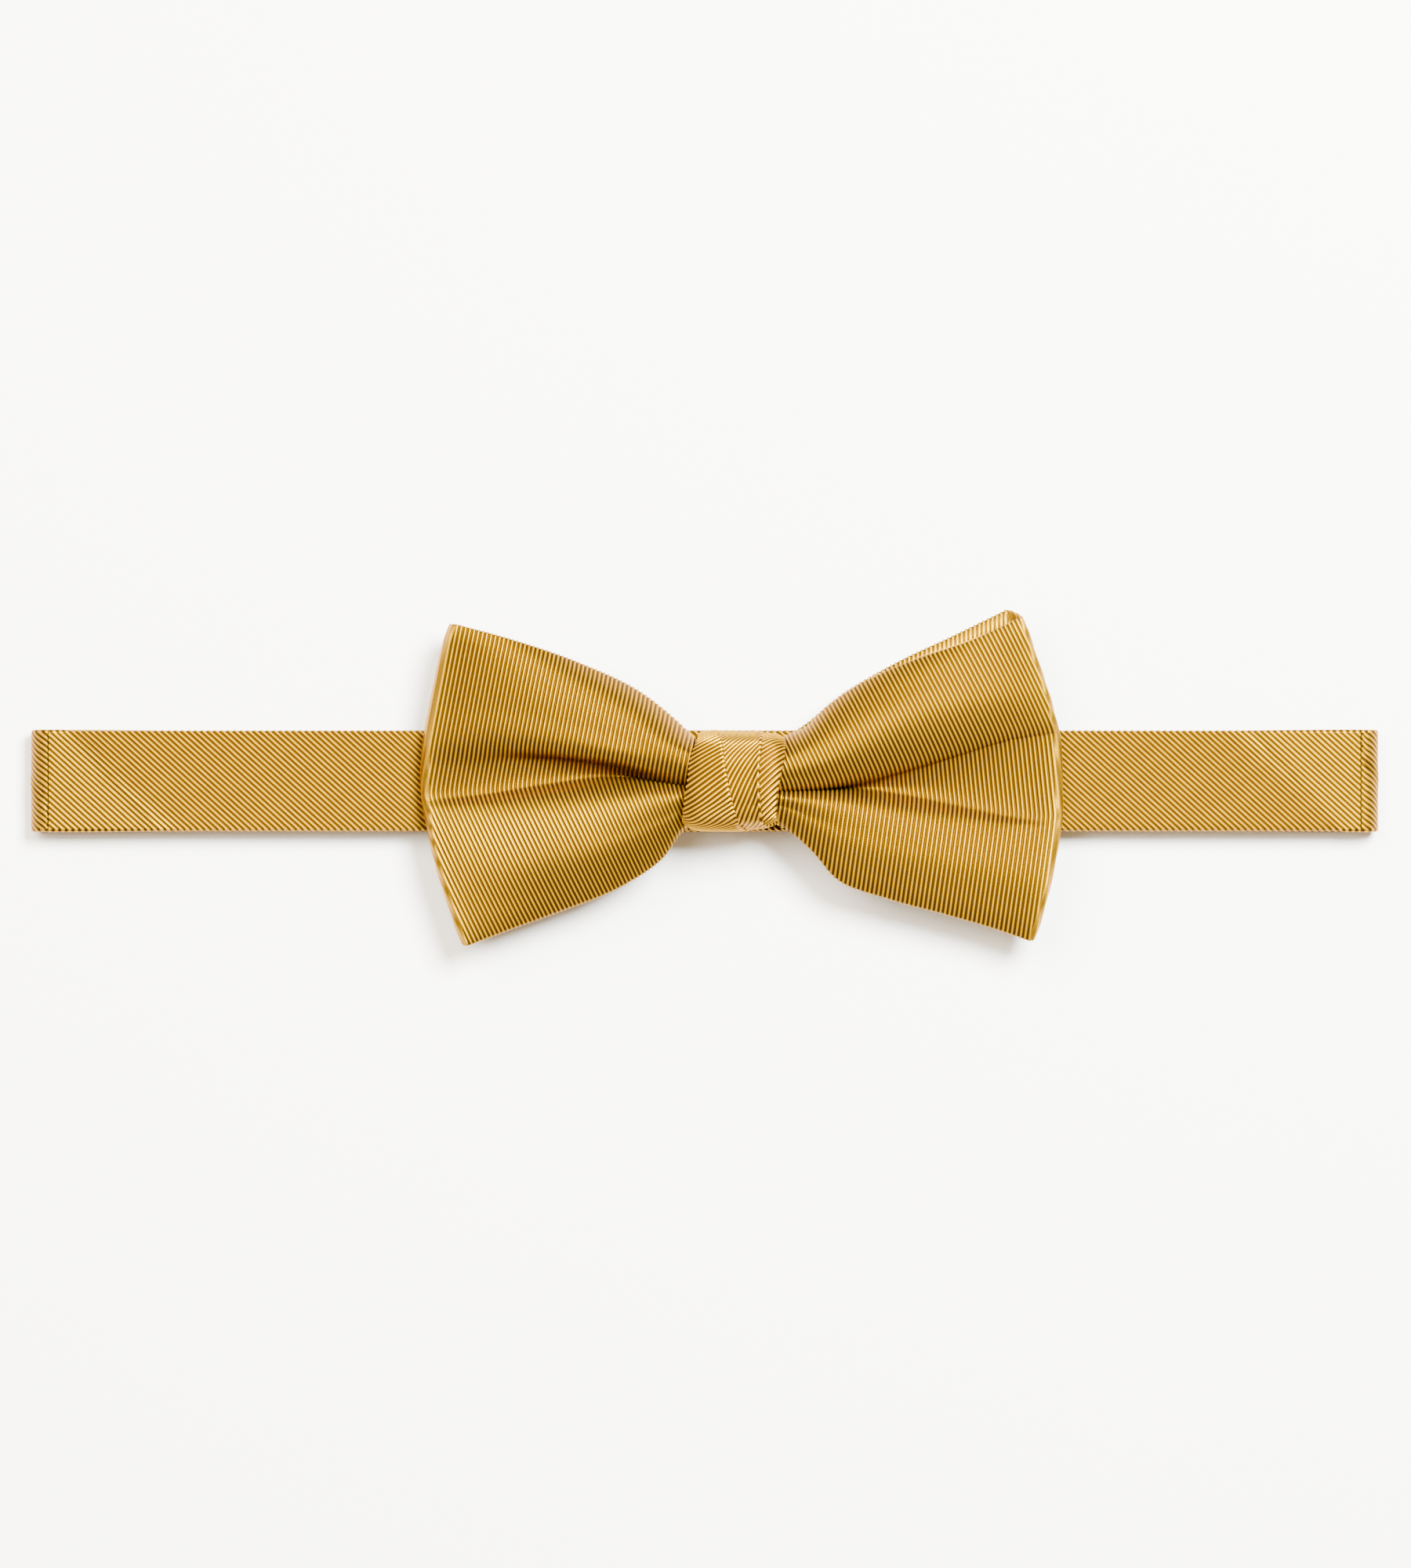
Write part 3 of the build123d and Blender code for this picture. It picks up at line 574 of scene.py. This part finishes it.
def build_back_leaf(side):
    """Back leaf of one wing, lying flat behind the front leaf."""
    wing = WINGS[side]
    way = wing["outward"]
    columns, rows = fineness((440, 40))
    surface, lines = guide_grid(wing["back"], columns, rows, way * FOLD_REACH)
    phase = way * (lines[1][-1, 0] - surface[..., 0]) / settings().rib_pitch
    slimmer = 0.98   # so that it ends inside the outer fold's skin
    grid, order = cloth_ring(surface, leaf_profile(rows, crisp_rows=3) * slimmer, phase,
                             settings().rib_height, under_rows=rows, inward=way > 0)
    uv = np.stack([phase[:, order], row_lengths(surface)[:, order]], axis=-1)
    piece = make_mesh(f"bow_back_leaf_{side}", grid, uv, material("faille"))
    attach(piece, ROOT)
    return piece


def build_canvas(side, leaf):
    """Canvas stiffener inside one leaf: the leaf's middle surface, drawn in from its edges."""
    way = WINGS[side]["outward"]
    surface, _ = guide_grid(WINGS[side][leaf], 150, 120, way * FOLD_REACH)
    inner = surface[20:-8, 6:-6]
    columns, rows, _ = inner.shape
    grid, _ = cloth_ring(inner, CANVAS_THICKNESS, np.zeros((columns, rows)), 0.0, under_rows=rows,
                         edge_steps=2, inward=way > 0)
    piece = make_mesh(f"canvas_{leaf}_{side}", grid, grid[..., :2], material("canvas"))
    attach(piece, ROOT)
    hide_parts(f"bow_canvas_{leaf}_{side}")


class BOWTIE_OT_bow(bpy.types.Operator):
    """Build the bow: front leaves with their outer folds, back leaves and the canvas inside them"""
    bl_idname = "bow_tie.bow"
    bl_label = "Bow"

    def execute(self, context):
        for side in WINGS:
            front = build_front_leaf(side)
            back = build_back_leaf(side)
            for piece in (front, back):
                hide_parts("bow_strip")
            for leaf in ("front", "back"):
                build_canvas(side, leaf)
        return {"FINISHED"}


# ---------------------------------------------------------------- the knot
KNOT_Y = -0.5
KNOT_PLY = 0.6              # thickness of one pleat
KNOT_RIBS = 0.8             # ribs on the stretched wrap, as a share of their full height
KNOT_HALF_WIDTH = 8.7       # from the middle of the front to where the wrap turns down at its two edges
KNOT_FALL = 1.5             # and how far it falls there
# Middle of the wrap's ply in side view, y from the knot's centre and z: from the back, under the lower
# side, over the front and down the upper side to the back again.
KNOT_RING = [(0, 4.8), (-5.6, 4.8), (-8.1, 5.6), (-8.6, 8.0), (-8.7, 12.5), (-8.6, 16.0), (-7.5, 18.2),
             (-4.2, 19.1), (0, 19.3), (4.0, 19.1), (7.1, 18.2), (8.2, 16.0), (8.4, 12.5), (8.3, 8.0),
             (7.8, 5.6), (5.6, 4.8), (0, 4.8)]
# Each edge of a pleat: x at stations along the ring, measured from the middle of the knot's front.
KNOT_LEFT = [(-29.3, -1.6), (-18, -3.4), (-11, -3.8), (-5.3, -3.7), (-1.8, -3.4), (1.0, -2.9), (5.2, -2.4),
             (8.4, -1.3), (13, -0.9), (20, -1.2), (28.3, -1.6)]
PLEAT_LEFT = [(-29.3, 6.5), (-18, 8.2), (-12, 7.9), (-9.0, 7.0), (-6.4, 5.9), (-1.8, 4.6), (4.4, 3.5),
              (12, 2.6), (20, 2.6), (28.3, 3.0)]
PLEAT_RIGHT = [(-29.3, 13.4), (-18, 14.0), (-13, 14.0), (-11, 13.6), (-9.4, 12.6), (-8.2, 11.4),
               (-7.0, 10.7), (-4.0, 10.15), (0.3, 9.9), (4.4, 10.0), (9, 10.5), (20, 10.2), (28.3, 9.6)]
KNOT_RIGHT = [(-29.3, 13.2), (-18, 13.4), (-9.4, 13.4), (-6.1, 13.2), (-2.4, 13.4), (0.3, 13.7),
              (4.4, 14.5), (8.9, 14.8), (14, 14.4), (28.3, 13.2)]


# How the ribs of each pleat slant: the cotangent of their slope at stations along the ring.
LEAN_LEFT = [(-30, 2.4), (-12, 2.4), (-8, 2.1), (-4, 1.5), (3, 1.45), (6, 1.8), (9, 2.4), (30, 2.4)]
LEAN_MIDDLE = [(-30, 0.5), (-10, 0.45), (-5, 0.42), (2, 0.55), (5, 0.8), (8, 1.4), (11, 2.0), (30, 2.0)]
LEAN_RIGHT = [(-30, 1.3), (-9, 1.3), (-6, 1.1), (0, 1.05), (4, 1.15), (8, 1.8), (11, 2.2), (30, 2.2)]


def line_at(table, where):
    """The smooth line through a table of stations and values."""
    table = np.array(table, float)
    return through(table[:, 0], table[:, 1], where)


def knot_pleat(name, left, right, lift, span, lean, rolled):
    """One pleat of the wrap: a strip of cloth led round the ring, from its left to its right edge along X.

    span holds the strip's first and last station along the ring, each at the left and the right edge. Its
    ply stands lift above the ring, falls away towards the knot's own two edges with the sixth power of the
    distance from the middle, and is raised by rolled, a function of the station and the share across. The
    rib phase is the integral of the lean along the ring less x. The ribs sink towards the right edge.
    """
    columns, rows = fineness((560, 45))
    ring = even_line(KNOT_RING, np.linspace(0, 1, 1200))
    length = run_length(ring)
    around = length - length[np.argmax(ring[:, 1])]
    v = np.linspace(0, 1, rows)[None, :]
    first, last = span
    start = first[0] * (1 - v) + first[1] * v
    end = last[0] * (1 - v) + last[1] * v
    s = start + (end - start) * np.linspace(0, 1, columns)[:, None]
    x = line_at(left, s) * (1 - v) + line_at(right, s) * v
    y = np.interp(s, around, ring[:, 0])
    z = np.interp(s, around, ring[:, 1])
    out_y = -np.interp(s, around, np.gradient(ring[:, 1], around))
    out_z = np.interp(s, around, np.gradient(ring[:, 0], around))
    centre = (line_at(KNOT_LEFT, s) + line_at(KNOT_RIGHT, s)) / 2
    across = np.clip(np.abs(x - centre) / KNOT_HALF_WIDTH, 0, 1.05)
    height = lift - KNOT_FALL * across ** 6 + rolled(s, v)
    middle = np.stack([x, KNOT_Y + y + out_y * height, z + out_z * height], axis=-1)
    step = 0.1
    stations = np.linspace(-30, 30, 601)
    turned = np.concatenate([[0], np.cumsum(line_at(lean, (stations[:-1] + stations[1:]) / 2) * step)])
    turned -= np.interp(0, stations, turned)
    steep = math.sin(math.atan2(1, line_at(lean, np.zeros(1))[0]))
    phase = (np.interp(s, stations, turned) - x) * steep / settings().rib_pitch
    relief = settings().rib_height * KNOT_RIBS * np.clip((1 - v) / 0.09, 0.1, 1)
    grid, order = cloth_ring(middle, KNOT_PLY, phase, relief, under_rows=rows)
    along_rib = s * 0.8
    uv = np.stack([phase[:, order], along_rib[:, order]], axis=-1)
    # Painted sheen: the knot's pleats take the brighter copy of the faille.
    piece = make_mesh(name, grid, uv, material("bias"))
    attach(piece, ROOT)
    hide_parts("knot_wrap")
    return piece


def shifted(table, step):
    """The same edge moved along X."""
    return [(s, x + step) for s, x in table]


def inner_box(name, node, key, shrink=(0, 0, 0)):
    """A stiffener or wad that lies hidden inside its cloth: a flat pillow as large as the room it has.

    Its section is a rounded box, cos t to the power 0.5 by sin t to the power 0.7 with their signs kept, and
    it swells from the two ends as the fourth root of 1 - x to the power 8.
    """
    low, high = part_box(node)
    centre = (np.array(low) + np.array(high)) / 2 / MM
    half = (np.array(high) - np.array(low)) / 2 / MM - np.array(shrink)
    turn = np.linspace(0, FULL_TURN, 33)[:-1]
    along = np.linspace(-1, 1, 41)[:, None]
    swell = (1 - np.abs(along) ** 8) ** 0.25 * 0.98 + 0.02
    y = np.sign(np.cos(turn)) * np.abs(np.cos(turn)) ** 0.5
    z = np.sign(np.sin(turn)) * np.abs(np.sin(turn)) ** 0.7
    grid = np.stack([centre[0] + half[0] * along + 0 * y, centre[1] + half[1] * y * (0.97 + 0.03 * swell),
                     centre[2] + half[2] * z * swell], axis=-1)
    piece = make_mesh(name, grid, grid[..., :2], material(key))
    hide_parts(node)
    return piece


def wound_thread():
    """Sewing thread wound four times round the gathered waist: an oval helix of round section."""
    low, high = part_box("gathering_thread")
    low, high = np.array(low) / MM, np.array(high) / MM
    turns, radius, inset = 4, 0.24, 0.25
    t = np.linspace(0, FULL_TURN * turns, 96 * turns)
    centre = (low + high) / 2
    half = (high - low) / 2 - inset
    oval = [np.sign(f(t)) * np.abs(f(t)) ** 0.6 for f in (np.cos, np.sin)]
    line = np.stack([low[0] + inset + (high[0] - low[0] - 2 * inset) * t / t[-1],
                     centre[1] + half[1] * oval[0], centre[2] + half[2] * oval[1]], axis=1)
    ahead = unit(np.gradient(line, axis=0))
    side = unit(np.cross(ahead, np.array([1.0, 0.0, 0.0])))
    up = np.cross(side, ahead)
    ring = np.linspace(0, FULL_TURN, 11)[:-1][None, :, None]
    grid = line[:, None] + radius * (side[:, None] * np.cos(ring) + up[:, None] * np.sin(ring))
    piece = make_mesh("waist_thread", grid, grid[..., :2], material("thread"))
    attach(piece, ROOT)
    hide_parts("gathering_thread")


class BOWTIE_OT_knot(bpy.types.Operator):
    """Build the knot: three pleats of the wrap, the wad under them and the thread round the waist"""
    bl_idname = "bow_tie.knot"
    bl_label = "Knot"

    def execute(self, context):
        def plain(s, v):
            return 0.0 * s * v

        def rolled_edge(s, v):
            """The last sixth of the width rolls up, except at the back of the ring."""
            return 0.34 * np.clip((v - 0.84) / 0.16, 0, 1) ** 2 * np.clip((s + 30) / 10, 0, 1)

        def tucked_end(s, v):
            """The end under the front's lower side dips below its neighbour."""
            return -0.9 * np.clip((-8.2 - s) / 1.6, 0, 1.2) ** 2

        whole = ((-29.1, -29.1), (28.1, 28.1))
        left = knot_pleat("knot_pleat_left", KNOT_LEFT, PLEAT_LEFT, 0.5, whole, LEAN_LEFT, plain)
        middle = knot_pleat("knot_pleat_middle", shifted(PLEAT_LEFT, -1.6), PLEAT_RIGHT, 0.15, whole,
                            LEAN_MIDDLE, rolled_edge)
        right = knot_pleat("knot_pleat_right", shifted(PLEAT_RIGHT, -0.2), KNOT_RIGHT, 0.0,
                           ((-9.6, -10.2), (28.1, 28.1)), LEAN_RIGHT, tucked_end)
        wad = inner_box("knot_wad", "knot_padding", "wadding")
        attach(wad, ROOT)
        wound_thread()
        return {"FINISHED"}


# ---------------------------------------------------------------- the neckband
BAND_Y = -0.7
BAND_WIDTH = 19.2
BIAS_ANGLE = math.radians(42)
BIAS = 1 / math.tan(BIAS_ANGLE)   # ribs fall this far along X per millimetre of width
HINGE_X = 122.8                   # the end folds turn here, on either side
STRAP_END_X = 122.75              # and the straps stop just short of it
FRONT_Z, BACK_Z = 6.3, 0.66       # heights of the front run and of the back run
FRONT_LENGTH = 245.5              # cloth in the front run
FOLD_LENGTH = 9.03                # and in one end fold
PRESSED_END = 17.0                # at most this length of a strap's end is pressed


def strap(name, path, width, thickness, body, lean=BIAS, start=0.0):
    """A pressed strap of bias-cut ribbed cloth along a path in the XZ plane.

    Its middle surface is the path carried across the width. Each column of the grid is slid along the
    path by the lean times y, so that it follows a rib. Towards the two ends the slide fades out and the
    cords are pressed flat, and there the pressed material draws them. start is the length of band before
    the path, so that the ribs run on from piece to piece.
    """
    path = np.array(path, float)
    rib_step = settings().rib_pitch / math.sin(BIAS_ANGLE)
    span = run_length(path)
    length = span[-1]
    columns = int(length / rib_step * fineness(7)) + 2
    rows = 25
    a = np.linspace(0, length, columns)[:, None]
    y = np.linspace(-0.5, 0.5, rows)[None, :] * (width - thickness)
    ramp = min(PRESSED_END, length / 2)
    fade = np.clip(np.minimum(a, length - a) / ramp, 0, 1)
    fade = fade * fade * (3 - 2 * fade)
    along = a - lean * y * fade
    x = np.interp(along, span, path[:, 0])
    z = np.interp(along, span, path[:, 1])
    middle = np.stack([x, BAND_Y + np.broadcast_to(y, x.shape), z], axis=-1)
    phase = (along + lean * y + start) / rib_step
    raised = np.clip((fade - 0.65) / 0.3, 0, 1)   # ribs rise only once the slide is nearly complete
    grid, order = cloth_ring(middle, thickness, phase, settings().rib_height * raised, under_rows=rows)
    along_rib = np.broadcast_to(y, phase.shape) * 1.4
    uv = np.stack([phase[:, order], along_rib[:, order]], axis=-1)
    piece = make_mesh(name, grid, uv, material("faille"), material("pressed"), raised[:, 0] < 0.6)
    if body:
        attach(piece, body)
    return piece


def arc(centre, radius, start, end, steps=24):
    """Points of an arc in the XZ plane, angles in degrees from +X towards +Z."""
    turn = np.radians(np.linspace(start, end, steps))
    return [(centre[0] + radius * math.cos(t), centre[1] + radius * math.sin(t)) for t in turn]


class BOWTIE_OT_neckband(bpy.types.Operator):
    """Build the neckband: front run, end folds, straps of the back run, their stiffeners and fittings"""
    bl_idname = "bow_tie.neckband"
    bl_label = "Neckband"

    def execute(self, context):
        thickness = settings().strap_thickness
        thin = 1.0   # the straps behind the front run
        runs = {
            "front_run": ("neckband_front", ROOT, [(-STRAP_END_X, FRONT_Z), (STRAP_END_X, FRONT_Z)]),
            "hook_strap": ("neckband_hook_half", "hook_half",
                           [(-STRAP_END_X, BACK_Z), (-37.4, BACK_Z), *arc((-37.4, 1.5), 0.85, -90, 90, 12),
                            (-38.8, 2.35), (-41.4, 1.6), (-49.4, 1.6)]),
            "eye_strap": ("neckband_eye_half", "eye_half",
                          [(STRAP_END_X, BACK_Z), (63, BACK_Z), (59, 1.35), (17, 1.35), (13, BACK_Z),
                           (-12.6, BACK_Z), *arc((-12.6, 1.5), 0.85, 270, 90, 12), (-9.6, 2.4)]),
            "tail_run": ("adjuster_tail", "eye_half", [(-9.6, 2.4), (40, 2.4)]),
            "tail_loop": ("adjuster_tail_end", "slide",
                          [(40, 2.4), (50.4, 2.4), *arc((50.4, 3.35), 0.95, -90, 90, 12), (49, 4.3),
                           (46.4, 3.5), (40, 3.5)]),
        }
        ribs = {"hook_strap": (-BIAS, FOLD_LENGTH), "eye_strap": (BIAS, FRONT_LENGTH + FOLD_LENGTH)}
        pieces = {}
        for name, (node, body, path) in runs.items():
            lean, start = ribs.get(name, (BIAS, 0.0))
            ply = thickness if body == ROOT else thin
            pieces[name] = strap(name, path, BAND_WIDTH, ply, body, lean, start)
            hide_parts(node)
        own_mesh(pieces["tail_run"])
        ends = (("left", -1, "hook_half", (90, 270), 0.0),
                ("right", 1, "eye_half", (-90, 90), -FRONT_LENGTH - FOLD_LENGTH))
        for side, way, body, turn, start in ends:
            fold = strap(f"{side}_fold", arc((way * HINGE_X, 3.48), 2.82, *turn), BAND_WIDTH,
                         thickness * 0.95, None, -BIAS, start)
            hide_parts(f"neckband_{side}_fold")
            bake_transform(fold)
        for node, body in (("front_interlining", ROOT), ("hook_half_interlining", "hook_half"),
                           ("eye_half_interlining", "eye_half")):
            stiffener = inner_box(f"{node}_cloth", node, "canvas", (0.15, 0, 0))
            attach(stiffener, body)
        for node in ("hook", "eye", "slide_adjuster"):
            dress(node, "metal")
        for node in ("hook_strap_tack", "tail_tack", "knot_back_stitches"):
            dress(node, "thread")
        return {"FINISHED"}


def dress(node, key):
    """Put a material in every slot of a carried-over solid."""
    mesh = bpy.data.objects[node].data
    if not mesh.materials:
        mesh.materials.append(material(key))
    for n in range(len(mesh.materials)):
        mesh.materials[n] = material(key)


# ---------------------------------------------------------------- stage
class BOWTIE_OT_stage(bpy.types.Operator):
    """Lay the floor, hang the lights and set the camera straight above"""
    bl_idname = "bow_tie.stage"
    bl_label = "Stage"

    def execute(self, context):
        scene = bpy.context.scene
        mesh = bpy.data.meshes.new("floor")
        mesh.from_pydata([(-3, -3, 0), (3, -3, 0), (3, 3, 0), (-3, 3, 0)], [], [(0, 1, 2, 3)])
        mesh.materials.append(material("card"))
        floor = bpy.data.objects.new("floor", mesh)
        scene.collection.objects.link(floor)
        camera = bpy.data.cameras.new("camera")
        distance, view_width, sensor = 2.5, 0.2647, 36
        camera.sensor_fit = "HORIZONTAL"
        camera.sensor_width = sensor
        camera.lens = sensor * distance / view_width
        camera.clip_end = 20
        holder = bpy.data.objects.new("camera", camera)
        holder.location = (0.00015, -0.0013, distance)
        scene.collection.objects.link(holder)
        scene.camera = holder
        lights = (
            ("key", (0.40, 0.43, 1.09), 0.5, 150.0, "#F8FBF8"),
            ("fill", (-0.45, 0.42, 1.10), 0.9, 54.0, "#FFF6E6"),
        )
        for name, place, size, power, colour in lights:
            lamp = bpy.data.lights.new(name, "AREA")
            lamp.shape = "DISK"
            lamp.size = size
            lamp.energy = power
            lamp.color = linear(colour)[:3]
            stand = bpy.data.objects.new(name, lamp)
            stand.location = place
            x, y, z = place
            stand.rotation_euler = (math.atan2(math.hypot(x, y), z), 0, math.atan2(-y, -x) - math.pi / 2)
            scene.collection.objects.link(stand)
        world = bpy.data.worlds.new("studio")
        world.use_nodes = True
        background = world.node_tree.nodes["Background"]
        background.inputs["Color"].default_value = linear("#FFDFB6")
        background.inputs["Strength"].default_value = 0.9
        scene.world = world
        return {"FINISHED"}


class BOWTIE_PT_panel(bpy.types.Panel):
    """Build buttons and sizes"""
    bl_idname = "BOWTIE_PT_panel"
    bl_label = "Bow Tie"
    bl_space_type = "VIEW_3D"
    bl_region_type = "UI"
    bl_category = "Bow Tie"

    def draw(self, context):
        for name in BowTieSettings.__annotations__:
            self.layout.prop(context.scene.bow_tie, name)
        for step in OPERATORS:
            self.layout.operator(step.bl_idname)


OPERATORS = (BOWTIE_OT_bow, BOWTIE_OT_knot, BOWTIE_OT_neckband, BOWTIE_OT_stage)
CLASSES = (BowTieSettings, *OPERATORS, BOWTIE_PT_panel)


def register():
    """Add the classes and the scene's settings."""
    for item in CLASSES:
        bpy.utils.register_class(item)
    bpy.types.Scene.bow_tie = bpy.props.PointerProperty(type=BowTieSettings)


def unregister():
    """Take them away again, in the opposite order."""
    del bpy.types.Scene.bow_tie
    for item in reversed(CLASSES):
        bpy.utils.unregister_class(item)


def main():
    """Build everything."""
    register()
    for step in ("bow", "knot", "neckband", "stage"):
        getattr(bpy.ops.bow_tie, step)()


if __name__ == "__main__":
    main()
